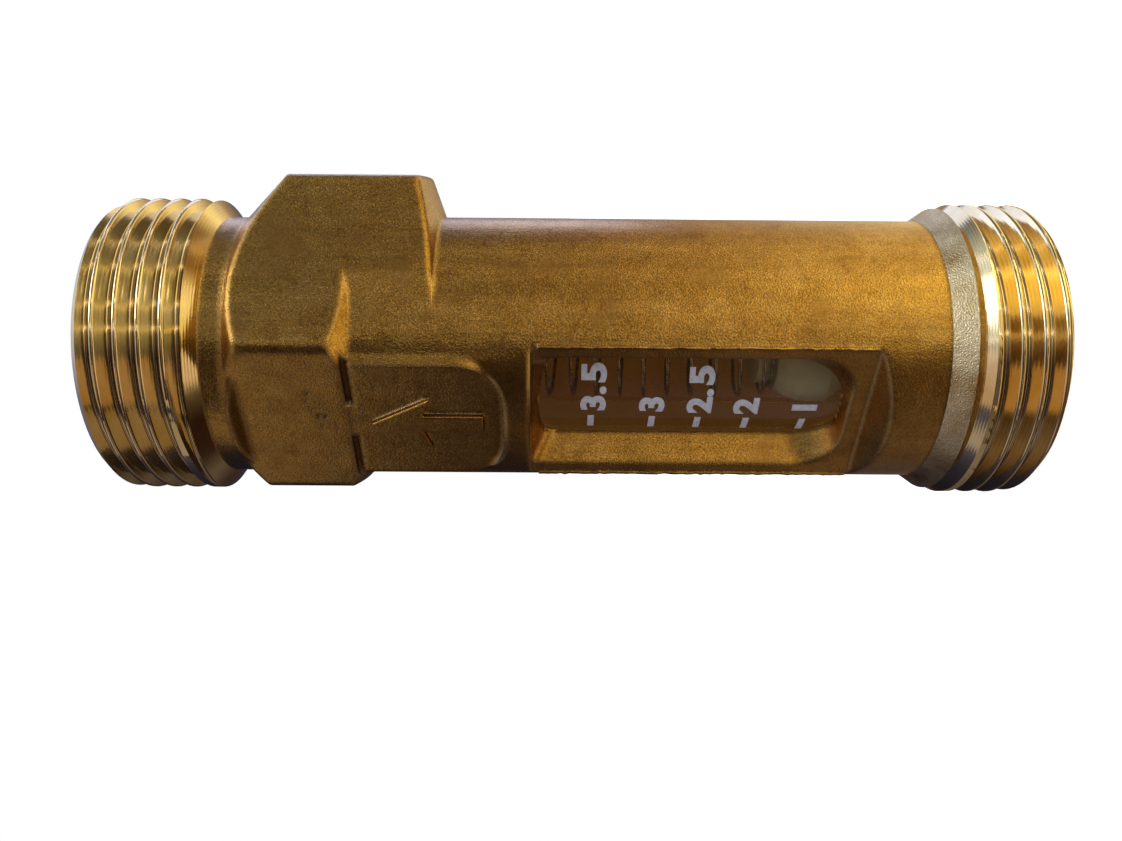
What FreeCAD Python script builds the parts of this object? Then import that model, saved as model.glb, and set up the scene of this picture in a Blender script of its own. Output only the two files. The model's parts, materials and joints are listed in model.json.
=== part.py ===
import FreeCAD, Part
import math
import os

from FreeCAD import Vector

# Inline flow meter with a spring-loaded float. Lengths are millimetres.
# It stands upright, as in use: the flow enters at the bottom face (Z = 0) and
# leaves at the top, the bore is the Z axis and the reading window faces -Y.

# ---------------------------------------------------------------- dimensions
# Pipe connections, G1: plain major-diameter cylinders, with the thread left out.
overall_length = 102.0
thread_major_r = 16.62
thread_chamfer = 1.15
inlet_thread_length = 8.4
inlet_runout_length = 1.3
inlet_relief_r = 15.3
inlet_relief_width = 0.4
inlet_collar_r = 16.2
inlet_collar_taper = 2.1
outlet_thread_length = 10.8
outlet_runout_length = 1.5

# Barrel and neck.
barrel_r = 14.75
neck_r = 14.6
neck_length = 2.4

# Spanner block: a hexagonal prism set back from the bore axis. Its top is turned
# off conically, its underside slopes, and its lower part is left off at the front.
block_across_flats = 34.6
block_offset = 3.87
block_height = 21.6
block_corner_radius = 1.6
block_edge_radius = 0.5
block_top_angle = 45.0
block_underside_angle = 20.0
block_step_height = 8.5
block_blend_angle = 50.0

# Flat pad on the front of the barrel, below the block, and the gaps beside it.
pad_level = 13.2
pad_height = 0.9
pad_width = 15.3
pad_slope = 0.5
pad_bottom_z = 58.4
pad_corner_radius = 5.0
pad_top_z = 74.3
pad_gap_width = 0.7
pad_gap_level = 12.6
pad_gap_start = 2.2

# Reading window: a flat across the front, and a tapered pocket through it.
window_level = 11.7
window_bottom_z = 19.4
window_top_z = 55.6
window_ramp_angle = 60.0
pocket_bottom_z = 21.3
pocket_width = 15.3
sight_bottom_z = 22.4
sight_top_z = 53.9
sight_width = 10.5
window_round_bottom = 4.6
window_round_top = 1.2

# Clear sight tube and its seals.
tube_outer_r = 10.0
tube_inner_r = 6.44
tube_chamfer = 0.3
tube_clearance = 0.15
seal_section = 1.5
seal_groove_width = 2.4
lower_seal_z = 16.3
upper_seal_z = 59.0
gasket_thickness = 0.5
gasket_overlap = 1.5

# Rod guides, clamped at the two ends of the tube.
guide_seat_z = 11.0
guide_rim_height = 2.0
guide_rim_width = 2.6
guide_arm_width = 1.6
guide_arm_count = 3
lower_hub_r = 2.6
lower_hub_rise = 2.2
upper_hub_r = 5.2
upper_hub_drop = 1.2

# Tube retainer: a slotted ring screwed into the inlet.
retainer_r = 12.0
retainer_clearance = 0.05
retainer_bore_r = 8.0
retainer_height = 5.0
retainer_slot_width = 2.4
retainer_slot_depth = 1.6
washer_thickness = 0.6

# Ports: a shallow counterbore below, and a wide bore above the tube's seat.
inlet_port_r = 12.5
inlet_port_depth = 5.0
outlet_seat_z = 64.0
outlet_seat_height = 2.0
outlet_port_r = 11.5
outlet_port_chamfer = 0.6

# Guide rod and its nuts.
rod_r = 1.0
rod_chamfer = 0.25
rod_spare_length = 0.6
nut_across_flats = 4.0
nut_thickness = 1.6

# Float.
float_r = 6.2
float_bore_clearance = 0.1
float_rest_gap = 0.05
float_stem_r = 3.2
float_stem_length = 2.6
float_cone_length = 4.6
float_land_length = 1.6
float_dome_length = 4.0
float_dome_bulge = 0.35
float_shoulder_r = 4.75

# Return spring between the float's shoulder and the upper guide.
wire_r = 0.2
spring_r = 5.6
spring_end_r = 4.4
spring_active_turns = 11.3
spring_end_turns = 1.5
spring_end_pitch = 0.46
spring_pilot_gap = 0.2
spring_pilot_length = 2.0

# ------------------------------------------------------------ derived places
tube_bore_r = tube_outer_r + tube_clearance
seal_groove_r = tube_outer_r + seal_section
outlet_seat_bore_r = tube_outer_r - gasket_overlap
guide_rim_inner_r = tube_outer_r - guide_rim_width
spring_pilot_r = spring_end_r - wire_r - spring_pilot_gap

tube_bottom_z = guide_seat_z + guide_rim_height
upper_rim_top_z = outlet_seat_z - gasket_thickness
tube_top_z = upper_rim_top_z - guide_rim_height
float_seat_z = tube_bottom_z + lower_hub_rise
retainer_top_z = guide_seat_z - washer_thickness

outlet_thread_base_z = overall_length - outlet_thread_length
neck_top_z = outlet_thread_base_z - outlet_runout_length
block_top_z = neck_top_z - neck_length
block_base_z = block_top_z - block_height
block_step_z = block_base_z + block_step_height
block_front_level = block_across_flats / 2 - block_offset
block_flat_base_z = pad_top_z + pad_gap_width

float_bottom_z = float_seat_z + float_rest_gap
float_edge_z = float_bottom_z + float_stem_length + float_cone_length
float_shoulder_z = float_edge_z + float_land_length + float_dome_length
spring_top_z = tube_top_z - upper_hub_drop

Z = Vector(0, 0, 1)
ORIGIN = Vector(0, 0, 0)


# ------------------------------------------------------------------- helpers
def at(r, z):
    """Point of a turned outline, at radius r and height z."""
    return Vector(r, 0, z)


def turned_wire(wire):
    """Solid of revolution about Z from a closed outline."""
    return Part.Face(wire).revolve(ORIGIN, Z, 360)


def turned(points):
    """Solid of revolution about Z from (radius, height) corners."""
    return turned_wire(Part.makePolygon([at(r, z) for r, z in points + points[:1]]))


def ring(inner_r, outer_r, bottom_z, top_z):
    """Flat-ended ring."""
    return turned([(inner_r, bottom_z), (outer_r, bottom_z), (outer_r, top_z), (inner_r, top_z)])


def slab(x_size, y_low, y_high, z_low, z_high):
    """Box centred on X = 0, between the given Y and Z levels."""
    return Part.makeBox(x_size, y_high - y_low, z_high - z_low, Vector(-x_size / 2, y_low, z_low))


def around(shape, count):
    """Copies of the shape, spaced evenly about Z."""
    copies = []
    for index in range(count):
        copy = shape.copy()
        copy.rotate(ORIGIN, Z, 360.0 * index / count)
        copies.append(copy)
    return copies


def hexagon(across_flats, centre_y, bottom_z, height):
    """Hexagonal prism with two of its flats facing -Y and +Y."""
    corner_r = across_flats / math.sqrt(3)
    corners = []
    for index in range(7):
        angle = math.radians(60 * index)
        corners.append(Vector(corner_r * math.cos(angle), centre_y + corner_r * math.sin(angle), bottom_z))
    return Part.Face(Part.makePolygon(corners)).extrude(Vector(0, 0, height))


def upright_edges(shape):
    """The straight edges that run along Z."""
    edges = []
    for edge in shape.Edges:
        run = edge.Vertexes[-1].Point - edge.Vertexes[0].Point
        if run.Length > 0 and abs(run.z) > 0.999 * edge.Length:
            edges.append(edge)
    return edges


def front_outline(width, bottom_z, top_z, bottom_radius, top_radius, level):
    """Closed wire facing -Y: a rectangle with one corner radius below and one above."""
    half = width / 2
    wire_edges = []
    corners = [
        (half - bottom_radius, bottom_z + bottom_radius, bottom_radius, -90),
        (half - top_radius, top_z - top_radius, top_radius, 0),
        (top_radius - half, top_z - top_radius, top_radius, 90),
        (bottom_radius - half, bottom_z + bottom_radius, bottom_radius, 180),
    ]
    rounds = []
    for x, z, radius, start in corners:
        points = []
        for angle in (start, start + 45, start + 90):
            turn = math.radians(angle)
            points.append(Vector(x + radius * math.cos(turn), -level, z + radius * math.sin(turn)))
        rounds.append(points)
    for index, points in enumerate(rounds):
        wire_edges.append(Part.Arc(*points).toShape())
        wire_edges.append(Part.makeLine(points[2], rounds[(index + 1) % 4][0]))
    return Part.Wire(wire_edges)


# ---------------------------------------------------------------------- body
def barrel():
    """Outside of the body as it comes off the lathe: connections, barrel and neck."""
    end_r = thread_major_r - thread_chamfer
    relief_base_z = inlet_thread_length + inlet_runout_length
    relief_top_z = relief_base_z + inlet_relief_width
    return turned([
        (0, 0),
        (end_r, 0),
        (thread_major_r, thread_chamfer),
        (thread_major_r, inlet_thread_length),
        (inlet_relief_r, relief_base_z),
        (inlet_relief_r, relief_top_z),
        (inlet_collar_r, relief_top_z),
        (barrel_r, relief_top_z + inlet_collar_taper),
        (barrel_r, block_top_z),
        (neck_r, block_top_z),
        (neck_r, neck_top_z),
        (thread_major_r, outlet_thread_base_z),
        (thread_major_r, overall_length - thread_chamfer),
        (end_r, overall_length),
        (0, overall_length),
    ])


def rim_edges(block):
    """Edges where a conical face meets the outside of the block."""
    edges = []
    for edge in block.Edges:
        faces = block.ancestorsOfType(edge, Part.Face)
        cones = [face for face in faces if isinstance(face.Surface, Part.Cone)]
        box = edge.BoundBox
        inside = box.ZMin > block_base_z + 0.01 and box.ZMax < block_top_z - 0.01
        if len(cones) == 1 and inside:
            edges.append(edge)
    return edges


def spanner_block():
    """Offset hexagon, coned above and below, whose lower front is left off in a step."""
    reach_r = block_offset + block_across_flats / math.sqrt(3)
    top_drop = (reach_r - neck_r) * math.tan(math.radians(block_top_angle))
    base_rise = (reach_r - barrel_r) * math.tan(math.radians(block_underside_angle))
    envelope = turned([
        (0, block_base_z),
        (barrel_r, block_base_z),
        (reach_r, block_base_z + base_rise),
        (reach_r, block_top_z - top_drop),
        (neck_r, block_top_z),
        (0, block_top_z),
    ])
    prism = hexagon(block_across_flats, block_offset, block_base_z, block_height)
    prism = prism.makeFillet(block_corner_radius, upright_edges(prism))
    block = prism.common(envelope)
    block = block.makeFillet(block_edge_radius, rim_edges(block))

    # The front step runs out at two planes tangent to the barrel.
    step = turned([
        (0, block_base_z),
        (reach_r, block_base_z),
        (reach_r, block_step_z + reach_r - barrel_r),
        (barrel_r, block_step_z),
        (0, block_step_z),
    ])
    depth = block_top_z - block_base_z
    cuts = []
    half_space = Part.makeBox(4 * reach_r, 4 * reach_r, depth, Vector(-2 * reach_r, -4 * reach_r, block_base_z))
    for turn in (-block_blend_angle, 0, block_blend_angle):
        level = barrel_r if turn else barrel_r * math.cos(math.radians(block_blend_angle))
        side = half_space.copy()
        side.translate(Vector(0, -level, 0))
        side.rotate(ORIGIN, Z, turn)
        cuts.append(step.common(side))
    return block.cut(cuts)


def pad_top():
    """Outline of the flat pad, which runs up under the block's front flat."""
    return front_outline(pad_width, pad_bottom_z, block_flat_base_z, pad_corner_radius, pad_slope, pad_level)


def pad():
    """Flat pad on the front of the barrel, with sloping sides and rounded lower corners."""
    foot = front_outline(pad_width + 2 * pad_slope, pad_bottom_z - pad_slope, block_flat_base_z,
                         pad_corner_radius + pad_slope, pad_slope, pad_level - pad_height)
    slope = Part.makeLoft([pad_top(), foot], True)
    core = Part.Face(foot).extrude(Vector(0, pad_level - pad_height - tube_bore_r, 0))
    return slope.fuse(core)


def front_cut(points):
    """Prism across the front of the barrel, from (level, height) corners."""
    width = 2 * barrel_r
    corners = [Vector(-width / 2, -level, z) for level, z in points + points[:1]]
    return Part.Face(Part.makePolygon(corners)).extrude(Vector(width, 0, 0))


def front_flats():
    """What is taken off the front of the barrel: block flat, pad level, window flat and the gaps by the pad."""
    far = 2 * barrel_r
    neck_step = neck_r - block_front_level
    window_ramp = (far - window_level) / math.tan(math.radians(window_ramp_angle))
    block_flat = front_cut([
        (far, block_flat_base_z),
        (block_front_level, block_flat_base_z),
        (block_front_level, block_top_z - neck_step),
        (far, block_top_z - neck_step + far - block_front_level),
    ])
    window_flat = front_cut([
        (far, window_bottom_z - window_ramp),
        (window_level, window_bottom_z),
        (window_level, window_top_z),
        (far, window_top_z),
    ])
    pad_flat = Part.Face(pad_top()).extrude(Vector(0, pad_level - far, 0))
    gap = Part.makeBox(far, far, pad_gap_width, Vector(pad_gap_start, -far - pad_gap_level, pad_top_z))
    other_gap = gap.mirror(ORIGIN, Vector(1, 0, 0))
    return [block_flat, pad_flat, window_flat, gap, other_gap]


def window_pocket():
    """Tapered pocket from the window flat to the bore, and the opening into it."""
    sight_level = math.sqrt(tube_bore_r ** 2 - (sight_width / 2) ** 2)
    outer = front_outline(pocket_width, pocket_bottom_z, window_top_z,
                          window_round_bottom, window_round_top, window_level)
    inner = front_outline(sight_width, sight_bottom_z, sight_top_z,
                          window_round_bottom, window_round_top, sight_level)
    taper = Part.makeLoft([outer, inner], True)
    opening = Part.Face(inner).extrude(Vector(0, sight_level, 0))
    return taper.fuse(opening)


def bore():
    """Everything turned out of the body: retainer thread, tube bore, grooves and port."""
    half_groove = seal_groove_width / 2
    seat_top_z = outlet_seat_z + outlet_seat_height
    return turned([
        (0, 0),
        (inlet_port_r, 0),
        (inlet_port_r, inlet_port_depth),
        (retainer_r, inlet_port_depth),
        (retainer_r, guide_seat_z),
        (tube_bore_r, guide_seat_z),
        (tube_bore_r, lower_seal_z - half_groove),
        (seal_groove_r, lower_seal_z - half_groove),
        (seal_groove_r, lower_seal_z + half_groove),
        (tube_bore_r, lower_seal_z + half_groove),
        (tube_bore_r, upper_seal_z - half_groove),
        (seal_groove_r, upper_seal_z - half_groove),
        (seal_groove_r, upper_seal_z + half_groove),
        (tube_bore_r, upper_seal_z + half_groove),
        (tube_bore_r, outlet_seat_z),
        (outlet_seat_bore_r, outlet_seat_z),
        (outlet_seat_bore_r, seat_top_z),
        (outlet_port_r, seat_top_z + outlet_port_r - outlet_seat_bore_r),
        (outlet_port_r, overall_length - outlet_port_chamfer),
        (outlet_port_r + outlet_port_chamfer, overall_length),
        (0, overall_length),
    ])


def make_body():
    body = barrel().fuse([spanner_block(), pad()])
    body = body.cut(front_flats())
    return body.cut([window_pocket(), bore()]).removeSplitter()


# ------------------------------------------------------- sight tube and seals
def make_sight_tube():
    low = tube_bottom_z
    high = tube_top_z
    edge = tube_chamfer
    return turned([
        (tube_inner_r, low),
        (tube_outer_r - edge, low),
        (tube_outer_r, low + edge),
        (tube_outer_r, high - edge),
        (tube_outer_r - edge, high),
        (tube_inner_r, high),
    ])


def make_seal(centre_z):
    """O-ring, squeezed between the tube and the floor of its groove."""
    section = Part.makeCircle(seal_section / 2, at(tube_outer_r + seal_section / 2, centre_z), Vector(0, 1, 0))
    return turned_wire(Part.Wire(section))


def make_tube_gasket():
    return ring(outlet_seat_bore_r, tube_outer_r, upper_rim_top_z, outlet_seat_z)


def make_tube_retainer():
    body = ring(retainer_bore_r, retainer_r - retainer_clearance, retainer_top_z - retainer_height, retainer_top_z)
    slot = slab(retainer_slot_width, -retainer_r, retainer_r,
                retainer_top_z - retainer_height, retainer_top_z - retainer_height + retainer_slot_depth)
    return body.cut(slot)


def make_thrust_washer():
    return ring(retainer_bore_r, retainer_r - 2 * retainer_clearance, retainer_top_z, guide_seat_z)


# --------------------------------------------------------- guides, rod and nuts
def guide(base_z, hub):
    """Rim, hub and arms of a rod guide, bored for the rod."""
    rim = ring(guide_rim_inner_r, tube_outer_r, base_z, base_z + guide_rim_height)
    reach = guide_rim_inner_r + guide_rim_width / 2
    arm = Part.makeBox(reach, guide_arm_width, guide_rim_height, Vector(0, -guide_arm_width / 2, base_z))
    spider = rim.fuse([hub] + around(arm, guide_arm_count))
    bored = spider.cut(Part.makeCylinder(rod_r, overall_length))
    return bored.removeSplitter()


def make_lower_guide():
    hub = Part.makeCylinder(lower_hub_r, float_seat_z - guide_seat_z, at(0, guide_seat_z))
    return guide(guide_seat_z, hub)


def make_upper_guide():
    hub = turned([
        (0, spring_top_z - spring_pilot_length),
        (spring_pilot_r, spring_top_z - spring_pilot_length),
        (spring_pilot_r, spring_top_z),
        (upper_hub_r, spring_top_z),
        (upper_hub_r, upper_rim_top_z),
        (0, upper_rim_top_z),
    ])
    return guide(tube_top_z, hub)


def make_guide_rod():
    low = guide_seat_z - nut_thickness - rod_spare_length
    high = upper_rim_top_z + nut_thickness + rod_spare_length
    return turned([
        (0, low),
        (rod_r - rod_chamfer, low),
        (rod_r, low + rod_chamfer),
        (rod_r, high - rod_chamfer),
        (rod_r - rod_chamfer, high),
        (0, high),
    ])


def make_rod_nut(base_z):
    nut = hexagon(nut_across_flats, 0, base_z, nut_thickness)
    return nut.cut(Part.makeCylinder(rod_r, overall_length))


# ----------------------------------------------------------- float and spring
def make_float():
    """Float bored for the rod: a stem, a cone out to the reading edge, and a dome."""
    bore_r = rod_r + float_bore_clearance
    stem_top_z = float_bottom_z + float_stem_length
    land_top_z = float_edge_z + float_land_length
    pilot_top_z = float_shoulder_z + spring_pilot_length
    dome_middle = at((float_r + float_shoulder_r) / 2 + float_dome_bulge, (land_top_z + float_shoulder_z) / 2)
    lower = Part.makePolygon([
        at(spring_pilot_r, float_shoulder_z),
        at(spring_pilot_r, pilot_top_z),
        at(bore_r, pilot_top_z),
        at(bore_r, float_bottom_z),
        at(float_stem_r, float_bottom_z),
        at(float_stem_r, stem_top_z),
        at(float_r, float_edge_z),
        at(float_r, land_top_z),
    ])
    dome = Part.Arc(at(float_r, land_top_z), dome_middle, at(float_shoulder_r, float_shoulder_z)).toShape()
    shoulder = Part.makeLine(at(float_shoulder_r, float_shoulder_z), at(spring_pilot_r, float_shoulder_z))
    return turned_wire(Part.Wire(lower.Edges + [dome, shoulder]))


def spring_point(turn):
    """Centre of the wire after this many turns: closed, narrower coils at both ends."""
    total = spring_active_turns + 2 * spring_end_turns
    low = float_shoulder_z + wire_r
    high = spring_top_z - wire_r
    end_rise = spring_end_turns * spring_end_pitch
    from_end = min(turn, total - turn)
    if from_end < spring_end_turns:
        rise = from_end * spring_end_pitch
        z = low + rise if turn < total / 2 else high - rise
    else:
        share = (turn - spring_end_turns) / spring_active_turns
        z = low + end_rise + share * (high - low - 2 * end_rise)
    growth = min(max(from_end - spring_end_turns + 0.5, 0.0), 1.0)
    ease = growth * growth * (3 - 2 * growth)
    r = spring_end_r + (spring_r - spring_end_r) * ease
    angle = 2 * math.pi * turn
    return Vector(r * math.cos(angle), r * math.sin(angle), z)


def make_return_spring():
    total = spring_active_turns + 2 * spring_end_turns
    steps = int(round(total * 12))
    path = Part.BSplineCurve()
    path.interpolate([spring_point(total * index / steps) for index in range(steps + 1)])
    spine = Part.Wire(path.toShape())
    section = Part.makeCircle(wire_r, path.value(path.FirstParameter), path.tangent(path.FirstParameter)[0])
    return spine.makePipeShell([Part.Wire(section)], True, True)


# --------------------------------------------------------------------- output
def parts():
    """Every separate piece, by name."""
    return {
        "body": make_body(),
        "sight_tube": make_sight_tube(),
        "lower_tube_seal": make_seal(lower_seal_z),
        "upper_tube_seal": make_seal(upper_seal_z),
        "tube_gasket": make_tube_gasket(),
        "tube_retainer": make_tube_retainer(),
        "thrust_washer": make_thrust_washer(),
        "lower_guide": make_lower_guide(),
        "upper_guide": make_upper_guide(),
        "guide_rod": make_guide_rod(),
        "lower_rod_nut": make_rod_nut(guide_seat_z - nut_thickness),
        "upper_rod_nut": make_rod_nut(upper_rim_top_z),
        "float": make_float(),
        "return_spring": make_return_spring(),
    }


os.makedirs("parts", exist_ok=True)
for name, shape in parts().items():
    shape.exportStep(f"parts/{name}.step")
    print(f"{name}: {len(shape.Solids)} solid, {shape.Volume:.1f} mm3, valid {shape.isValid()}")
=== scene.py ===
# %% [markdown]
# # An inline flow meter in cast brass
# This lesson dresses a small water flow meter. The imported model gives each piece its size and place.
# Here the brass casting gets its screw threads, the tube its printed scale, and each piece the finish
# of the material that it is made of.

import json
import math
import random

import bmesh
import bpy
from mathutils import Matrix, Vector


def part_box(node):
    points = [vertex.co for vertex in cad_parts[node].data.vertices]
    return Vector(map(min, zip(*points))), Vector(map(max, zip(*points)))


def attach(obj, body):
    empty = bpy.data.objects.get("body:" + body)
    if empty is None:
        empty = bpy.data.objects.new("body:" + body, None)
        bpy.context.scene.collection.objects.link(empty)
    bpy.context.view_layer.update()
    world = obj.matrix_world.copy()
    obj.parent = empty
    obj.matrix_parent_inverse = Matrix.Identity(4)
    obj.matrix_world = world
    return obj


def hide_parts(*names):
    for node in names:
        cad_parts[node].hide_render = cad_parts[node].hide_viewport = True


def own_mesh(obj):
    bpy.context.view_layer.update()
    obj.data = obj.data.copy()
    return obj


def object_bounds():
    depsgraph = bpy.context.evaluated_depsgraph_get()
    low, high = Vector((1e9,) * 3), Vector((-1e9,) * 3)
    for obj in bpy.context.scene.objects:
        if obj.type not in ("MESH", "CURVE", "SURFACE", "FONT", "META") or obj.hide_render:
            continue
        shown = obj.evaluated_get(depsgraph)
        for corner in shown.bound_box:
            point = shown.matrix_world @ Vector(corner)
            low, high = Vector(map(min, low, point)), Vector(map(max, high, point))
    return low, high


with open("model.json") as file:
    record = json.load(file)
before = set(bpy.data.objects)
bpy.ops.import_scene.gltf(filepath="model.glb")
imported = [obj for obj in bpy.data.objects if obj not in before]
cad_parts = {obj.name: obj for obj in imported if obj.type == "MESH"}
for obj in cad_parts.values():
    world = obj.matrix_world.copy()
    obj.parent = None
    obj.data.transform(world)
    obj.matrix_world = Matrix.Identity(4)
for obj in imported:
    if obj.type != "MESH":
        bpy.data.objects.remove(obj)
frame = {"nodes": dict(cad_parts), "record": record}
nodes = frame["nodes"]
cad_low, cad_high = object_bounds()
MM = 0.001
UP = Vector((0, 0, 1))
print("height in mm:", round((cad_high.z - cad_low.z) / MM, 2))

# %% [markdown]
# ## Camera
# The meter is seen from its front left, level with the middle of its body, and lies on its side in the
# picture. Turning the meter itself would take every piece out of its place in the frame, so the camera
# is rolled by a quarter turn instead: the picture's left is up on the meter. It stands close, a hand's
# breadth away, so the round ends show their curve.

# %% Camera
view_turn = math.radians(42.0)
lean_up, lean_back = 0.0066, 0.0070
camera_back, camera_left, camera_down = 114.3, 1.33, 8.63
toward_camera = Vector((math.sin(view_turn), -math.cos(view_turn), 0))
picture_up = Vector((math.cos(view_turn), math.sin(view_turn), 0))
side_right = (lean_up * picture_up + lean_back * toward_camera - UP).normalized()
side_up = (picture_up - picture_up.project(side_right)).normalized()
side_back = side_right.cross(side_up)
middle = Vector((0, 0, (cad_low.z + cad_high.z) / 2))

camera = bpy.data.objects.new("camera", bpy.data.cameras.new("camera"))
bpy.context.scene.collection.objects.link(camera)
camera.data.lens = 31.27
camera.data.sensor_width = 36
camera.data.clip_start = 5 * MM
camera.matrix_world = Matrix.Translation(
    middle + (camera_back * side_back - camera_left * side_right - camera_down * side_up) * MM
) @ Matrix((side_right, side_up, side_back)).transposed().to_4x4()
bpy.context.scene.camera = camera
print("camera distance in mm:", round((camera.matrix_world.translation - middle).length / MM, 1))

# %% [markdown]
# ## Helpers for materials
# A material is a small tree of nodes, which could be drawn by hand in the shader editor. Built in code
# it can be read and repeated. The first helper turns the hex colours of a paint chart into the linear
# light that Blender works with. The next adds a node, sets its values and joins its inputs, so each
# finish below reads like a recipe. A colour ramp turns a grey pattern into tints. Every pattern reads
# Object coordinates, in metres, so a scale of 5 / MM means five grains to the millimetre.


# %% Material helpers
def linear(hex_colour):
    """sRGB hex colour as linear RGBA."""
    levels = [int(hex_colour[i:i + 2], 16) / 255 for i in (1, 3, 5)]
    return tuple(c / 12.92 if c <= 0.04045 else ((c + 0.055) / 1.055) ** 2.4 for c in levels) + (1.0,)


def add(owner, kind, settings=None, **inputs):
    """Adds a node, sets its properties, and fills its inputs, by name or as i and a number."""
    tree = owner.node_tree
    node = tree.nodes.new("ShaderNode" + kind)
    for name, value in (settings or {}).items():
        setattr(node, name, value)
    for name, value in inputs.items():
        numbered = name[0] == "i" and name[1:].isdigit()
        socket = node.inputs[int(name[1:])] if numbered else node.inputs[name.replace("_", " ")]
        if isinstance(value, bpy.types.NodeSocket):
            tree.links.new(value, socket)
        else:
            socket.default_value = value
    return node


def ramp(owner, factor, stops):
    """Colour ramp over a grey pattern, from (position, hex colour or grey level) stops."""
    node = add(owner, "ValToRGB", Fac=factor)
    while len(node.color_ramp.elements) < len(stops):
        node.color_ramp.elements.new(0.5)
    for element, (position, tint) in zip(node.color_ramp.elements, stops):
        element.position = position
        element.color = linear(tint) if isinstance(tint, str) else (tint, tint, tint, 1.0)
    return node.outputs["Color"]


def new_material(name, **shader_values):
    """Material whose principled shader has these values; returns it, its shader and its coordinates."""
    material = bpy.data.materials.new(name)
    material.use_nodes = True
    shader = material.node_tree.nodes["Principled BSDF"]
    for key, value in shader_values.items():
        shader.inputs[key.replace("_", " ")].default_value = value
    return material, shader, add(material, "TexCoord").outputs["Object"]


def link(owner, output, socket):
    """Joins a node's output to a socket."""
    owner.node_tree.links.new(output, socket)


print("helpers: linear, add, ramp, new_material, link")

# %% [markdown]
# ## Cast brass
# The body was cast in sand and only blasted clean. The metal under the skin is a pale gold, but a thin
# brown oxide lies on it in blotches and long rubbed streaks, and is worn off along the edges. The grain
# of the sand, about a fifth of a millimetre, breaks every highlight into sparks. An image of brass could
# be laid over it, but noise patterns of the right size have no seams and no end. Ambient occlusion finds
# the hollows, and the colour is darkened there. A Bevel node rounds the shading of each sharp edge, as a
# mould does, and where its normal departs from the true one the colour is lightened: the edge is rubbed
# bright, and this also paints a highlight along it.


# %% Cast brass
def cast_brass(name, edge_radius):
    """Brass from a sand mould, whose edges look as round as the radius and are lightened, partly as wear and
    partly as a painted highlight.
    """
    material, shader, place = new_material(name, Metallic=1.0)
    # Blotches 7 mm across, stains 2.4 mm, sand grains 0.19 mm, shallow dents 3 mm, streaks 0.8 by 10 mm.
    blotch = add(material, "TexNoise", Vector=place, Scale=0.15 / MM, Detail=7.0,
                 Roughness=0.66).outputs["Fac"]
    stain = add(material, "TexNoise", Vector=place, Scale=0.42 / MM, Detail=6.0, Roughness=0.7,
                Distortion=0.6).outputs["Fac"]
    grain = add(material, "TexNoise", Vector=place, Scale=5.2 / MM, Detail=1.5, Roughness=0.5).outputs["Fac"]
    waves = add(material, "TexNoise", Vector=place, Scale=0.33 / MM, Detail=2.0).outputs["Fac"]
    drawn_out = add(material, "Mapping", Vector=place, Scale=(1.0, 1.0, 0.08)).outputs["Vector"]
    streak = add(material, "TexNoise", Vector=drawn_out, Scale=1.3 / MM, Detail=3.0).outputs["Fac"]

    tone = ramp(material, blotch, [(0.32, "#ab813f"), (0.5, "#b88e45"), (0.68, "#c49a51")])
    oxide = ramp(material, stain, [(0.3, "#dccebe"), (0.44, "#f8f4ee"), (0.6, "#ffffff")])
    fleck = ramp(material, grain, [(0.34, 0.76), (0.5, 0.97), (0.66, 1.18)])
    rubbed = ramp(material, streak, [(0.3, 0.88), (0.6, 1.0)])
    hollow = add(material, "AmbientOcclusion", {"samples": 6}, Distance=3.0 * MM).outputs["AO"]
    # The colour is darker where ambient occlusion finds hollows.
    hollow_darkening = ramp(material, hollow, [(0.2, "#46321f"), (0.5, "#bcaa94"), (0.8, "#ffffff")])

    rounded = add(material, "Bevel", {"samples": 6}, Radius=edge_radius).outputs["Normal"]
    flat = add(material, "NewGeometry").outputs["True Normal"]
    agree = add(material, "VectorMath", {"operation": "DOT_PRODUCT"}, i0=rounded, i1=flat).outputs["Value"]
    # Mask of the sharp edges: they are rubbed bright, and the mask also paints a highlight along them.
    rubbed_edge_and_highlight = ramp(material, agree, [(0.75, 0.6), (0.96, 0.0)])

    colour = tone
    for layer in (oxide, fleck, rubbed, hollow_darkening):
        colour = add(material, "Mix", {"data_type": "RGBA", "blend_type": "MULTIPLY"},
                     i0=1.0, i6=colour, i7=layer).outputs[2]
    # Pale gold on the edges: rubbed metal plus a painted highlight.
    colour = add(material, "Mix", {"data_type": "RGBA"}, i0=rubbed_edge_and_highlight, i6=colour, i7=linear("#e6cd8f"))
    link(material, colour.outputs[2], shader.inputs["Base Color"])

    rough = add(material, "MapRange", Value=blotch, From_Min=0.3, From_Max=0.7, To_Min=0.285, To_Max=0.245)
    link(material, rough.outputs[0], shader.inputs["Roughness"])
    dents = add(material, "Bump", Strength=0.5, Distance=0.12 * MM, Height=waves, Normal=rounded)
    scores = add(material, "Bump", Strength=0.35, Distance=0.04 * MM, Height=streak, Normal=dents.outputs[0])
    skin = add(material, "Bump", Strength=0.5, Distance=0.06 * MM, Height=grain, Normal=scores.outputs[0])
    link(material, skin.outputs[0], shader.inputs["Normal"])
    return material


skin_brass = cast_brass("sand_cast_brass", 0.9 * MM)
relief_brass = cast_brass("sand_cast_relief", 0.15 * MM)
print("nodes in the cast brass:", len(skin_brass.node_tree.nodes))

# %% [markdown]
# ## Turned brass
# The threads, the end faces and the bores were cut on a lathe after casting. Fresh cuts are bright,
# with fine rings left by the tool. An anisotropic shader could smear the highlights as rings do, but
# these are seen from close by, so they are drawn. Real ones lie closer than a tenth of a millimetre
# and would only flicker, so a wave along Z sets them a fifth apart. The collar was cut coarsely and is
# dull. The old bore is darker. Light bounces in it many times more than a renderer follows, and a
# faint glow stands for the light that is lost.


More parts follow.
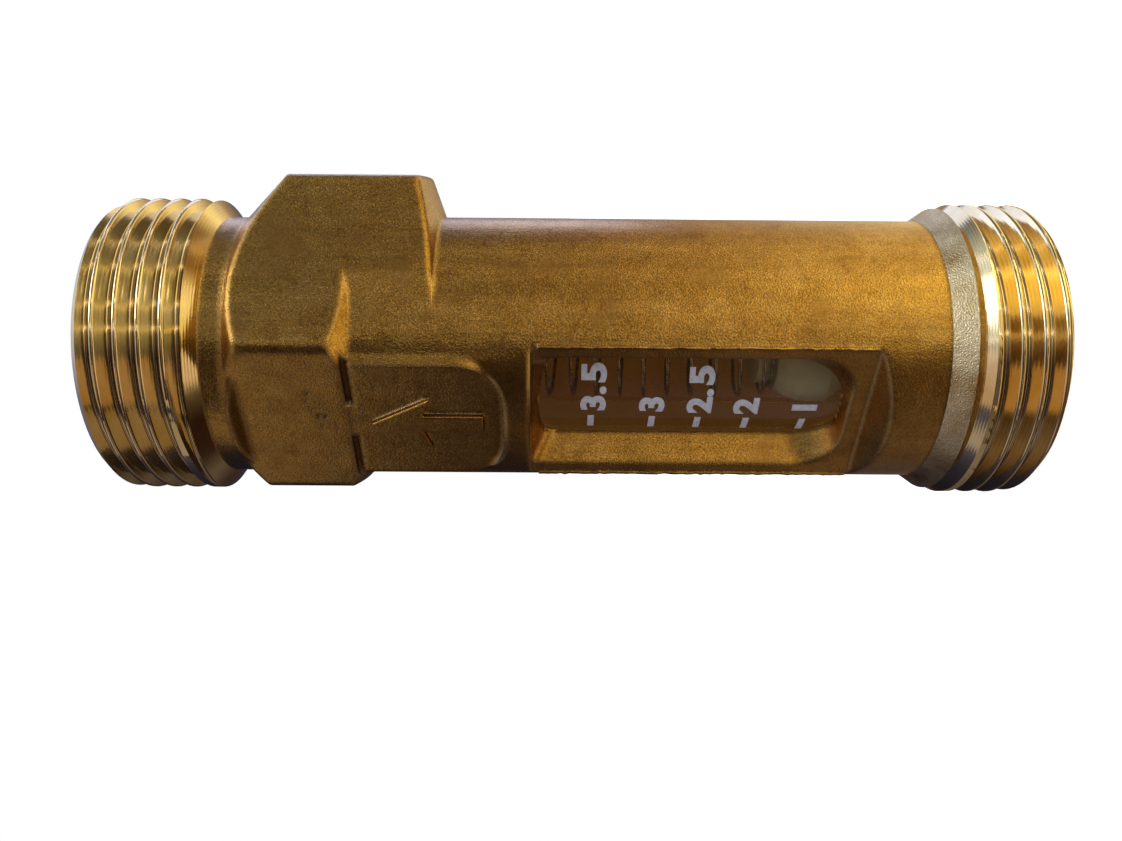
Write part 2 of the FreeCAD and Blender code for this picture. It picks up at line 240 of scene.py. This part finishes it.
# %% Turned brass
def turned_brass(name, tints, roughness, grit):
    """Brass off the lathe, from dull to bright tint, from smooth to rough, with grit for a coarse cut."""
    material, shader, place = new_material(name, Metallic=1.0)
    haze = add(material, "TexNoise", Vector=place, Scale=0.22 / MM, Detail=5.0, Roughness=0.6).outputs["Fac"]
    colour = ramp(material, haze, [(0.3, tints[0]), (0.7, tints[1])])
    link(material, colour, shader.inputs["Base Color"])
    rough = add(material, "MapRange", Value=haze, From_Min=0.3, From_Max=0.7, To_Min=roughness[0],
                To_Max=roughness[1])
    link(material, rough.outputs[0], shader.inputs["Roughness"])
    # Haze 4.5 mm across and grit of 0.18 mm. The wave node turns by 20 radians for each unit of its
    # scale, which puts the rings 0.21 mm apart.
    rings = add(material, "TexWave", {"bands_direction": "Z"}, Vector=place, Scale=1.5 / MM, Distortion=0.3,
                Detail=1.0).outputs["Fac"]
    crumbs = add(material, "TexNoise", Vector=place, Scale=5.6 / MM, Detail=2.0).outputs["Fac"]
    lathe = add(material, "Bump", Strength=0.25, Distance=0.012 * MM, Height=rings)
    bump = add(material, "Bump", Strength=grit, Distance=0.08 * MM, Height=crumbs, Normal=lathe.outputs[0])
    link(material, bump.outputs[0], shader.inputs["Normal"])
    return material


thread_brass = turned_brass("turned_brass", ("#d6b978", "#e6d0a0"), (0.1, 0.18), 0.02)
collar_brass = turned_brass("rough_turned_brass", ("#a08148", "#e8d6a6"), (0.32, 0.44), 0.9)
bore_brass = turned_brass("aged_bore_brass", ("#a87832", "#c8954a"), (0.22, 0.34), 0.2)
bore_shader = bore_brass.node_tree.nodes["Principled BSDF"]
bore_shader.inputs["Emission Color"].default_value = linear("#ae8650")
bore_shader.inputs["Emission Strength"].default_value = 0.11
print("turned finishes:", thread_brass.name, collar_brass.name, bore_brass.name)

# %% [markdown]
# ## Clear tube, acetal, rubber and steel
# The tube is moulded polysulfone, clear with a honey tint. The float and guides are turned or moulded
# acetal, a white plastic that lets some light in. The seals are moulded EPDM rubber, black with a grey
# bloom. The rod, nuts and spring are drawn stainless steel, whose grey is set darker than bare steel as
# painted shade for the dim inside of the tube. The figures on the tube are a pale screen ink, given a
# faint glow: painted light that lifts them in the shade of the window's walls. Each of these could be one
# flat colour, but a faint cloud of a second tint keeps a surface from looking like paper. The tube casts
# no shadow, because a glass shader would otherwise shut the lamps out of the bore.


# %% Other materials
def clear_plastic():
    """Moulded polysulfone: honey coloured glass to the eye, with clouds of film 4 mm across."""
    material, shader, place = new_material("clear_polysulfone", Transmission_Weight=1.0, IOR=1.5,
                                           Roughness=0.0)
    film = add(material, "TexNoise", Vector=place, Scale=0.26 / MM, Detail=4.0).outputs["Fac"]
    link(material, ramp(material, film, [(0.3, "#efdcb4"), (0.7, "#fbf0d6")]), shader.inputs["Base Color"])
    return material


def white_plastic():
    """Acetal: milky, because light spreads 1.5 mm under its skin, with clouds 3 mm across."""
    material, shader, place = new_material("acetal", Roughness=0.38, IOR=1.48, Subsurface_Weight=0.5,
                                           Subsurface_Radius=(1.0, 1.0, 0.9), Subsurface_Scale=1.5 * MM)
    cloud = add(material, "TexNoise", Vector=place, Scale=0.3 / MM, Detail=3.0).outputs["Fac"]
    link(material, ramp(material, cloud, [(0.3, "#c2cec0"), (0.7, "#d6dfd2")]), shader.inputs["Base Color"])
    return material


def seal_rubber():
    """EPDM rubber: soft black, with a bloom in spots of 2 mm."""
    material, shader, place = new_material("epdm_rubber", Roughness=0.55)
    bloom = add(material, "TexNoise", Vector=place, Scale=0.5 / MM, Detail=4.0).outputs["Fac"]
    link(material, ramp(material, bloom, [(0.3, "#161616"), (0.7, "#2a2a29")]), shader.inputs["Base Color"])
    return material


def stainless_steel():
    """Drawn stainless steel: grey and half bright, set darker than bare steel as painted shade, with dull
    spots a millimetre wide.
    """
    material, shader, place = new_material("drawn_stainless_steel", Metallic=1.0)
    spots = add(material, "TexNoise", Vector=place, Scale=0.9 / MM, Detail=3.0).outputs["Fac"]
    # The grey is darker than bare steel: painted shade for the dim inside of the tube.
    link(material, ramp(material, spots, [(0.3, "#8f8c84"), (0.7, "#b5b2a9")]), shader.inputs["Base Color"])
    rough = add(material, "MapRange", Value=spots, From_Min=0.3, From_Max=0.7, To_Min=0.18, To_Max=0.34)
    link(material, rough.outputs[0], shader.inputs["Roughness"])
    return material


def scale_ink():
    """Screen ink: pale blue grey, worn in specks of half a millimetre, with a faint glow of painted light.
    """
    material, shader, place = new_material("scale_ink", Roughness=0.5, Emission_Strength=0.08)
    wear = add(material, "TexNoise", Vector=place, Scale=1.8 / MM, Detail=3.0).outputs["Fac"]
    link(material, ramp(material, wear, [(0.3, "#c4cede"), (0.6, "#e2e9f6")]), shader.inputs["Base Color"])
    # Painted light: the ink glows faintly in the shade of the window.
    shader.inputs["Emission Color"].default_value = linear("#dfe8ff")
    return material


finish_of = {
    "cast_brass": skin_brass,
    "turned_brass": thread_brass,
    "clear_plastic": clear_plastic(),
    "white_plastic": white_plastic(),
    "seal_rubber": seal_rubber(),
    "stainless_steel": stainless_steel(),
}
for part in frame["record"]["subparts"]:
    mesh = nodes[part["node"]].data
    mesh.materials.clear()
    mesh.materials.append(finish_of[part["material_slot"]])
nodes["sight_tube"].visible_shadow = False

# %% [markdown]
# ## Piece helpers
# Every new piece is born in a bmesh, sits at the origin and rides on a body of the frame. Three of
# them are wound round the axis, two thread cutters and the spring. Blender's own spin can climb, but
# at an even pace only. So one helper carries an outline round Z: it extrudes the ring of edges, turns
# it a little, lifts it and draws it in or out, over and over.

# %% Piece helpers
crisp_degrees = 30.0
round_degrees = 60.0


def shade(bm, smooth_angle):
    """Smooth faces, with sharp edges where two faces meet at more than the angle in degrees."""
    limit = math.radians(smooth_angle)
    for face in bm.faces:
        face.smooth = True
    for edge in bm.edges:
        edge.smooth = len(edge.link_faces) == 2 and edge.calc_face_angle(0.0) < limit


def piece_from(name, bm, materials, smooth_angle=crisp_degrees):
    """Object made from a bmesh."""
    shade(bm, smooth_angle)
    mesh = bpy.data.meshes.new(name)
    bm.to_mesh(mesh)
    bm.free()
    for material in materials:
        mesh.materials.append(material)
    piece = bpy.data.objects.new(name, mesh)
    bpy.context.scene.collection.objects.link(piece)
    return piece


def grown_parts(grown, kind):
    """The new vertices or edges that an extrusion made."""
    return [part for part in grown["geom"] if isinstance(part, kind)]


def cap_ends(bm, first, last):
    """Closes a tube at its first and last ring of edges."""
    bmesh.ops.edgeloop_fill(bm, edges=first)
    bmesh.ops.edgeloop_fill(bm, edges=last)
    bmesh.ops.recalc_face_normals(bm, faces=bm.faces)


def sweep_round_z(bm, outline, turns, steps_per_turn, climb, inset):
    """Carries a closed outline of vertices round Z and caps both ends.

    For a turn count from the start, climb gives the rise of one whole turn, and inset how far the
    outline is drawn towards the axis from its given place, or outwards where it is below zero.
    """
    step_angle = 2 * math.pi / steps_per_turn
    angle = math.atan2(outline[0].co.y, outline[0].co.x)
    edges = [bm.edges.new((a, b)) for a, b in zip(outline, outline[1:] + outline[:1])]
    first, ring, shift = list(edges), outline, 0.0
    for step in range(round(turns * steps_per_turn) + 1):
        turn = step / steps_per_turn
        lift = 0.0
        if step:
            grown = bmesh.ops.extrude_edge_only(bm, edges=edges)
            ring = grown_parts(grown, bmesh.types.BMVert)
            edges = grown_parts(grown, bmesh.types.BMEdge)
            bmesh.ops.rotate(bm, verts=ring, cent=(0, 0, 0), matrix=Matrix.Rotation(step_angle, 3, "Z"))
            angle += step_angle
            lift = climb(turn) / steps_per_turn
        outward = Vector((math.cos(angle), math.sin(angle), 0))
        bmesh.ops.translate(bm, verts=ring, vec=outward * (shift - inset(turn)) + UP * lift)
        shift = inset(turn)
    cap_ends(bm, first, edges)


print("helpers: shade, piece_from, grown_parts, cap_ends, sweep_round_z")

# %% [markdown]
# ## Screw threads
# A pipe thread of one inch has eleven turns to the inch and a rounded profile with its flanks 55
# degrees apart. The Screw modifier could wind a ridge and leave it to be joined on. The lathe cuts the
# thread into a plain cylinder, and so does this step: a cutter with the shape of one groove runs round
# the axis like the tool, and backs out of the metal over a fifth of a turn. Depth and tip radius are
# the standard's shares of the pitch.

# %% Thread cutters
pitch = 25.4 / 11 * MM
major_r = 16.62 * MM
groove_depth = 0.6403 * pitch
tip_r = 0.1373 * pitch
flank = math.radians(27.5)
arc_steps = 5
tool_overhang = 0.6 * MM
back_out = 0.22
clear_of_metal = 1.6 * MM
thread_steps = 72
inlet_start, inlet_turns = (math.radians(-48), 2.3 * MM - 2 * pitch), 4.4
outlet_start, outlet_turns = (math.radians(-138), 91.45 * MM - pitch / 4), 5.6


def groove_outline():
    """(radius, height) points of one groove, round the root from one crest to the next."""
    arc = [(math.pi / 2 - flank) * index / arc_steps for index in range(1, arc_steps + 1)]
    crest = [(major_r - tip_r * (1 - math.cos(a)), tip_r * math.sin(a) - pitch / 2) for a in arc]
    root = [(major_r - groove_depth + tip_r * (1 - math.cos(a)), -tip_r * math.sin(a)) for a in arc[::-1]]
    lower = crest + root
    upper = [(r, -z) for r, z in lower[::-1]]
    outside = major_r + tool_overhang
    bottom = (major_r - groove_depth, 0.0)
    return [(outside, lower[0][1])] + lower + [bottom] + upper + [(outside, upper[-1][1])]


def thread_cutter(name, beginning, turns):
    """Solid shaped like the groove, which begins at an angle and height and rises a pitch each turn."""
    start_angle, start_z = beginning
    bm = bmesh.new()
    start = [bm.verts.new((r, 0, z + start_z)) for r, z in groove_outline()]
    bmesh.ops.rotate(bm, verts=start, cent=(0, 0, 0), matrix=Matrix.Rotation(start_angle, 3, "Z"))

    def back_off(turn):
        """The groove's depth fades at both ends of the cut."""
        return -clear_of_metal * max(0.0, 1 - min(turn, turns - turn) / back_out)

    sweep_round_z(bm, start, turns, thread_steps, lambda turn: pitch, back_off)
    return piece_from(name, bm, [])


cutters = [
    thread_cutter("inlet_cutter", inlet_start, inlet_turns),
    thread_cutter("outlet_cutter", outlet_start, outlet_turns),
]
print("thread pitch in mm:", round(pitch / MM, 3))

# %% [markdown]
# ## Sand holes
# A few grains of sand leave holes in the skin of the front flat. A bump map could darken the spots,
# but a real hole has a rim that catches light. Small balls cut them, strewn along a line. Their centres
# stand a tenth of a millimetre in front of the flat, so each cuts a shallow cup.

# %% Sand holes
CAST, TURNED, COLLAR, BORE, RELIEF = range(5)
body_finishes = [skin_brass, thread_brass, collar_brass, bore_brass, relief_brass]
block_front = -13.43 * MM
hole_count = 9
# Across and up the flat, in millimetres.
hole_line_start = (4.2, 79.4)
hole_line_run = (-4.8, -2.4)
ball_stand_off = 0.1 * MM


def sand_holes():
    """Balls that cut the holes, in one piece."""
    rng = random.Random(7)
    bm = bmesh.new()
    for index in range(hole_count):
        share = index / (hole_count - 1)
        x = hole_line_start[0] + hole_line_run[0] * share + rng.uniform(-0.7, 0.7)
        z = hole_line_start[1] + hole_line_run[1] * share + rng.uniform(-0.8, 0.8)
        place = Matrix.Translation(Vector((x * MM, block_front - ball_stand_off, z * MM)))
        bmesh.ops.create_icosphere(bm, subdivisions=2, radius=rng.uniform(0.2, 0.36) * MM, matrix=place)
    return piece_from("sand_holes", bm, [], round_degrees)


cutters.append(sand_holes())
print("cutters:", [cutter.name for cutter in cutters])

# %% [markdown]
# ## Flow arrow
# The pad below the flat carries a raised arrow for the direction of flow. It could be carved with the
# sculpt tools. A drawn outline, extruded and bevelled, keeps it straight. Its foot is sunk into the pad
# so that the two become one casting.

# %% Flow arrow
pad_front = -13.2 * MM
arrow_rise = 0.6 * MM
arrow_foot = 0.3 * MM
arrow_bevel = 0.2 * MM
# Across and up the pad, in millimetres.
half_arrow = [(1.1, 60.6), (1.1, 67.0), (3.4, 66.2), (0.0, 72.6)]


def relief_piece(name, bm, smooth_angle):
    """Small raised form that keeps its own crisp finish when it is joined to the body."""
    for face in bm.faces:
        face.material_index = RELIEF
    return piece_from(name, bm, body_finishes, smooth_angle)


def flow_arrow():
    """Arrow along +Z, on the pad."""
    outline = half_arrow + [(-x, z) for x, z in half_arrow[-2::-1]]
    bm = bmesh.new()
    face = bm.faces.new([bm.verts.new((x * MM, pad_front + arrow_foot, z * MM)) for x, z in outline])
    grown = bmesh.ops.extrude_face_region(bm, geom=[face])
    top = grown_parts(grown, bmesh.types.BMVert)
    rim = grown_parts(grown, bmesh.types.BMEdge)
    bmesh.ops.translate(bm, verts=top, vec=(0, -arrow_rise - arrow_foot, 0))
    bmesh.ops.bevel(bm, geom=rim, offset=arrow_bevel, affect="EDGES", segments=3, profile=0.5, material=-1)
    bmesh.ops.recalc_face_normals(bm, faces=bm.faces)
    return relief_piece("flow_arrow", bm, crisp_degrees)


arrow = flow_arrow()
print("arrow faces:", len(arrow.data.polygons))

# %% [markdown]
# ## Ragged lips of the window
# The mould left a thin ragged lip where the window's flat runs out of the round barrel. A wandering
# edge could come from a displaced strip. Here a small ring of vertices is drawn along the edge, half a
# millimetre at a time, and strays a little at each step.

# %% Window lips
barrel_r = 14.75 * MM
window_level = 11.7 * MM
lip_r = 0.2 * MM
lip_base = 19.8 * MM
lip_step = 0.5 * MM
lip_steps = 70


def window_lip(side):
    """Lip on one long edge of the window's flat, at the side where X has the sign of side."""
    rng = random.Random(3)
    edge = Vector((side * math.sqrt(barrel_r ** 2 - window_level ** 2), -window_level, 0))
    bm = bmesh.new()
    ring = bmesh.ops.create_circle(bm, segments=8, radius=lip_r)["verts"]
    bmesh.ops.translate(bm, verts=ring, vec=edge + UP * lip_base)
    first = edges = list(bm.edges)
    for _ in range(lip_steps):
        grown = bmesh.ops.extrude_edge_only(bm, edges=edges)
        ring = grown_parts(grown, bmesh.types.BMVert)
        edges = grown_parts(grown, bmesh.types.BMEdge)
        centre = sum((vertex.co for vertex in ring), Vector()) / len(ring)
        target = edge + Vector((rng.uniform(-0.06, 0.06), rng.uniform(-0.1, 0.02), 0)) * MM
        move = Vector((target.x - centre.x, target.y - centre.y, lip_step))
        bmesh.ops.translate(bm, verts=ring, vec=move)
    cap_ends(bm, first, edges)
    return relief_piece("window_lip", bm, round_degrees)


additions = [arrow, window_lip(1), window_lip(-1)]
print("additions:", [addition.name for addition in additions])

# %% [markdown]
# ## The finished casting
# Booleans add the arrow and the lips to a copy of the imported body, and then take the cutters off. The
# finish of each face could be painted by hand. Here its place decides: what the lathe touched, the
# ends and the bores, gets the bright finish, and the rest keeps its cast skin. A boolean leaves slivers
# beside large faces, which would spoil the shading, so the Weighted Normal modifier lets each face
# count by its area.

# %% Body
weld_distance = 0.002 * MM
inside_bore_r = 10.3 * MM
outlet_level = 60 * MM
inside_outlet_r = 12.2 * MM
inlet_collar_base = 10.0 * MM
inlet_collar_top = 12.2 * MM
outlet_runout_base = 89.65 * MM


def finish_at(place):
    """Which finish a face at this place has; the radii lie a little outside the tube's bore and outlet."""
    r = math.hypot(place.x, place.y)
    if r < inside_bore_r or (place.z > outlet_level and r < inside_outlet_r):
        return BORE
    if inlet_collar_base < place.z < inlet_collar_top:
        return COLLAR
    return TURNED if place.z < inlet_collar_base or place.z > outlet_runout_base else CAST


def body_piece():
    """The casting with its threads, holes, arrow and lips."""
    bm = bmesh.new()
    bm.from_mesh(nodes["body"].data)
    bmesh.ops.remove_doubles(bm, verts=bm.verts, dist=weld_distance)
    body = piece_from("brass_body", bm, body_finishes)
    for tool in additions + cutters:
        step = body.modifiers.new(tool.name, "BOOLEAN")
        step.operation = "UNION" if tool in additions else "DIFFERENCE"
        step.solver = "MANIFOLD"
        step.object = tool
    graph = bpy.context.evaluated_depsgraph_get()
    worked = bmesh.new()
    worked.from_mesh(body.evaluated_get(graph).to_mesh())
    body.modifiers.clear()
    for face in worked.faces:
        if face.material_index != RELIEF:
            face.material_index = finish_at(face.calc_center_median())
    shade(worked, crisp_degrees)
    worked.to_mesh(body.data)
    worked.free()
    for tool in cutters + additions:
        bpy.data.objects.remove(tool)
    even = body.modifiers.new("even_shading", "WEIGHTED_NORMAL")
    even.keep_sharp = True
    return body


body = body_piece()
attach(body, "housing")
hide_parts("body")
print("body faces:", len(body.data.polygons))

# %% [markdown]
# ## Printed scale
# The figures are screen printed on the tube, so they are a film a few hundredths of a millimetre
# thick that follows its curve. An image on the tube could carry them, but its edges would blur from
# close by. Each figure is set as text instead, turned into a mesh, sliced finely enough to bend, and
# wrapped round the tube.

# %% Wrapping round the tube
tube_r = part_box("sight_tube")[1].x
film = 0.03 * MM
slice_width = 0.2 * MM
slices_each_side = 14
tick_size = (2.2 * MM, 0.7 * MM, 2 * film)


def wrap(part, angle, height):
    """Slices a flat piece across X and bends it round the tube."""
    for index in range(-slices_each_side, slices_each_side + 1):
        geometry = part.verts[:] + part.edges[:] + part.faces[:]
        cut = (index * slice_width, 0, 0)
        bmesh.ops.bisect_plane(part, geom=geometry, plane_co=cut, plane_no=(1, 0, 0))
    for vertex in part.verts:
        turn = angle + vertex.co.x / tube_r
        r = tube_r + film + vertex.co.z
        vertex.co = Vector((r * math.sin(turn), -r * math.cos(turn), height + vertex.co.y))


def print_on_tube(bm, part, angle, height):
    """Wraps a flat piece and adds it to the print."""
    wrap(part, angle, height)
    mesh = bpy.data.meshes.new("print")
    part.to_mesh(mesh)
    part.free()
    bm.from_mesh(mesh)
    bpy.data.meshes.remove(mesh)


def flat_tick():
    """Mark beside a figure, before it is bent."""
    part = bmesh.new()
    bmesh.ops.create_cube(part, size=1.0)
    bmesh.ops.scale(part, verts=part.verts, vec=tick_size)
    return part


print("tube radius in mm:", round(tube_r / MM, 2))

# %% [markdown]
# ## Figures
# The typeface is broad and heavy, so the font is stretched and its outline thickened. The screen sat a
# little askew, which is why the column of figures leans round the tube as it climbs. The heights of
# the marks follow the square of the flow roughly, as they do on a meter whose float rests on a spring.

# %% Scale
figure_height = 2.6 * MM
figure_share_of_size = 0.73
figure_widen = 1.3
figure_boldness = 0.06
print_lean = 0.115
tick_degrees = -17.5
character_degrees = (0, 10, 22)
# The middle of each figure and of its tick, in millimetres above the foot of the meter.
marks = {"1": (25.6, 25.4), "2": (32.05, 31.7), "2.5": (37.2, 37.1), "3": (42.45, 42.2), "3.5": (48.9, 49.0)}


def flat_character(text):
    """One character as a flat mesh, stretched to the width of the print."""
    curve = bpy.data.curves.new("figure", "FONT")
    curve.body = text
    curve.size = figure_height / figure_share_of_size
    curve.offset = figure_boldness * figure_height
    curve.align_x = "CENTER"
    curve.extrude = film
    carrier = bpy.data.objects.new("figure", curve)
    bpy.context.scene.collection.objects.link(carrier)
    graph = bpy.context.evaluated_depsgraph_get()
    mesh = bpy.data.meshes.new_from_object(carrier.evaluated_get(graph))
    bpy.data.objects.remove(carrier)
    part = bmesh.new()
    part.from_mesh(mesh)
    bpy.data.meshes.remove(mesh)
    bmesh.ops.scale(part, verts=part.verts, vec=(figure_widen, 1, 1))
    return part


print_bm = bmesh.new()
for text, (figure_z, tick_z) in marks.items():
    lean = print_lean * (marks["3.5"][0] - figure_z)
    print_on_tube(print_bm, flat_tick(), math.radians(tick_degrees - lean), tick_z * MM)
    for character, degrees in zip(text, character_degrees):
        print_on_tube(print_bm, flat_character(character), math.radians(degrees - lean),
                      figure_z * MM - figure_height / 2)
scale_print = piece_from("scale_print", print_bm, [scale_ink()])
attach(scale_print, "housing")
print("scale faces:", len(scale_print.data.polygons))

# %% [markdown]
# ## Return spring
# The spring is wire wound cold: open coils in the middle, and one and a half closed, narrower coils
# at each end, where it sits on the float and the guide. A bevelled curve could make it too, but the
# sweep that drew the threads already does. A ring of vertices is carried round the axis and drawn
# inwards at the ends.

# %% Spring
spring_low, spring_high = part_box("return_spring")
wire_r = 0.2 * MM
coil_r = 5.6 * MM
end_coil_r = 4.4 * MM
end_turns = 1.5
open_turns = 11.3
end_pitch = 0.46 * MM
wire_sides = 10
coil_steps = 32
open_pitch = (spring_high.z - spring_low.z - 2 * wire_r - 2 * end_turns * end_pitch) / open_turns


def coil_climb(turn):
    """Rise of a whole turn: closed coils at the ends, open ones between."""
    inside = end_turns < turn < end_turns + open_turns
    return open_pitch if inside else end_pitch


def coil_inset(turn):
    """How far the wire is drawn towards the axis from the end coils; below zero is outwards."""
    from_end = min(turn, 2 * end_turns + open_turns - turn)
    share = min(max(from_end - end_turns + 0.5, 0.0), 1.0)
    return -(coil_r - end_coil_r) * share * share * (3 - 2 * share)


spring_bm = bmesh.new()
wire = bmesh.ops.create_circle(spring_bm, segments=wire_sides, radius=wire_r)["verts"]
bmesh.ops.rotate(spring_bm, verts=wire, cent=(0, 0, 0), matrix=Matrix.Rotation(math.pi / 2, 3, "X"))
bmesh.ops.translate(spring_bm, verts=wire, vec=(end_coil_r, 0, spring_low.z + wire_r))
for edge in list(spring_bm.edges):
    spring_bm.edges.remove(edge)  # The sweep joins the ring's vertices itself.
sweep_round_z(spring_bm, wire, 2 * end_turns + open_turns, coil_steps, coil_climb, coil_inset)
spring = piece_from("wire_spring", spring_bm, [finish_of["stainless_steel"]], round_degrees)
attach(spring, "housing")
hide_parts("return_spring")
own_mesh(spring)
print("open pitch of the spring in mm:", round(open_pitch / MM, 2))

# %% [markdown]
# ## Floor
# The floor and the air behind are plain and pale. A curved studio sweep would hide the line between
# them. A glow of its own does so here, and keeps the floor as pale as the backdrop. It throws no light,
# shade or reflection on the meter, and the clear tube doesn't show it either.

# %% Floor
floor_half = 3.0
floor_material, floor_shader, floor_place = new_material("pale_floor", Roughness=0.8, Emission_Strength=0.9)
floor_shader.inputs["Emission Color"].default_value = linear("#ffffff")
dust = add(floor_material, "TexNoise", Vector=floor_place, Scale=0.012 / MM, Detail=2.0).outputs["Fac"]
link(floor_material, ramp(floor_material, dust, [(0.3, "#efefee"), (0.7, "#f4f4f2")]),
     floor_shader.inputs["Base Color"])
floor_bm = bmesh.new()
bmesh.ops.create_grid(floor_bm, x_segments=1, y_segments=1, size=floor_half)
floor = piece_from("floor", floor_bm, [floor_material])
floor.visible_glossy = False
floor.visible_shadow = False
floor.visible_diffuse = False
floor.visible_transmission = False
print("floor width in m:", round(floor.dimensions.x, 1))

# %% [markdown]
# ## Room light
# Metal shows what stands around it. An image of a real room could light it, but a drawn one can be set
# region by region. The room is a sky that changes with height: cool white above the meter, where its
# cones and upper flanks look, warm from below, and dim brown at its own level. A second ramp keeps the
# side that is up in the picture bright and darkens the other. The backdrop itself stays white.

# %% Room light
room_strength = 1.5
world = bpy.data.worlds.new("studio")
bpy.context.scene.world = world
world.use_nodes = True
bpy.context.scene.view_settings.view_transform = "Standard"
direction = add(world, "TexCoord").outputs["Generated"]
height = add(world, "SeparateXYZ", Vector=direction).outputs["Z"]
height_share = add(world, "MapRange", Value=height, From_Min=-1.0, From_Max=1.0).outputs[0]
by_height = ramp(world, height_share, [(0.02, "#ffe9a0"), (0.08, "#7a5c3c"), (0.2, "#7a5c3c"),
                                       (0.3, "#fff3c0"), (0.36, "#d8c8a6"), (0.44, "#9c8870"),
                                       (0.5, "#786a60"), (0.58, "#565864"), (0.74, "#6d7488"),
                                       (0.85, "#bcc8de"), (0.95, "#d2e0ff")])
beside = add(world, "VectorMath", {"operation": "DOT_PRODUCT"}, i0=direction, i1=picture_up).outputs["Value"]
side_share = add(world, "MapRange", Value=beside, From_Min=-1.0, From_Max=1.0).outputs[0]
by_side = ramp(world, side_share, [(0.0, "#8684a8"), (0.12, "#605e78"), (0.3, "#4c4858"),
                                   (0.42, "#7c788a"), (0.55, 0.75), (0.8, 0.95)])
room = add(world, "Mix", {"data_type": "RGBA", "blend_type": "MULTIPLY"}, i0=1.0, i6=by_height, i7=by_side)
room = add(world, "VectorMath", {"operation": "SCALE"}, i0=room.outputs[2], Scale=room_strength)
rays = add(world, "LightPath").outputs["Is Camera Ray"]
shown = add(world, "Mix", {"data_type": "RGBA"}, i0=rays, i6=room.outputs[0], i7=linear("#ffffff"))
link(world, shown.outputs[2], world.node_tree.nodes["Background"].inputs["Color"])
print("nodes in the room light:", len(world.node_tree.nodes))

# %% [markdown]
# ## Lamps
# Soft rectangular lamps add what a smooth sky can't. Four long thin ones parallel to the meter draw the
# rows of bright dashes that run along its threads. The window lamp whitens what faces the outlet, and
# the warm lamp gilds the barrel from the inlet's side. The front lamp opens the shade on the side that
# is down in the picture, and the back lamp draws a cool edge along the far side. Two side lamps look
# into the threads' steep flanks. Each is placed by its turn from the camera and its rise, in degrees,
# so it is easy to find in a reflection.


# %% Lamps
def toward(turn, rise):
    """Direction at an angle from the camera towards the picture's upper side, raised above level."""
    level = math.cos(math.radians(turn)) * toward_camera + math.sin(math.radians(turn)) * picture_up
    return math.cos(math.radians(rise)) * level + math.sin(math.radians(rise)) * UP


def lamp(name, distance, turn, rise, size, brightness, tint="#ffffff"):
    """Rectangular lamp facing the meter; lengths in millimetres, brightness 1 looks white."""
    place = distance * toward(turn, rise)
    light = bpy.data.lights.new(name, "AREA")
    light.shape = "RECTANGLE"
    light.size, light.size_y = size[0] * MM, size[1] * MM
    light.energy = brightness * math.pi * light.size * light.size_y
    light.color = linear(tint)[:3]
    holder = bpy.data.objects.new(name, light)
    bpy.context.scene.collection.objects.link(holder)
    holder.location = middle + place * MM
    holder.rotation_euler = (-place).to_track_quat("-Z", "Y").to_euler()


tube_lamp_turns = (86.8, 61.7, 28.2, 8.5)
for index, turn in enumerate(tube_lamp_turns):
    lamp(f"tube_lamp_{index + 1}", 400, turn, 0, (10, 3000), 2.8)
# Name, distance, turn, rise, size, brightness and tint.
lamp("window_lamp", 600, 56, 62, (220, 300), 5.0, "#f4f6ff")
lamp("warm_lamp", 500, 50, -38, (260, 260), 1.35, "#fdf29a")
lamp("front_lamp", 500, -83, 30, (280, 280), 0.36, "#fff0e4")
lamp("back_lamp", 500, 132, 22, (220, 520), 2.0, "#b8c8ff")
lamp("outlet_side_lamp", 500, -40, 54, (280, 440), 0.5, "#ffe2c4")
lamp("inlet_side_lamp", 500, -40, -58, (280, 440), 0.65, "#ffe2c4")
print("lamps:", len(bpy.data.lights))
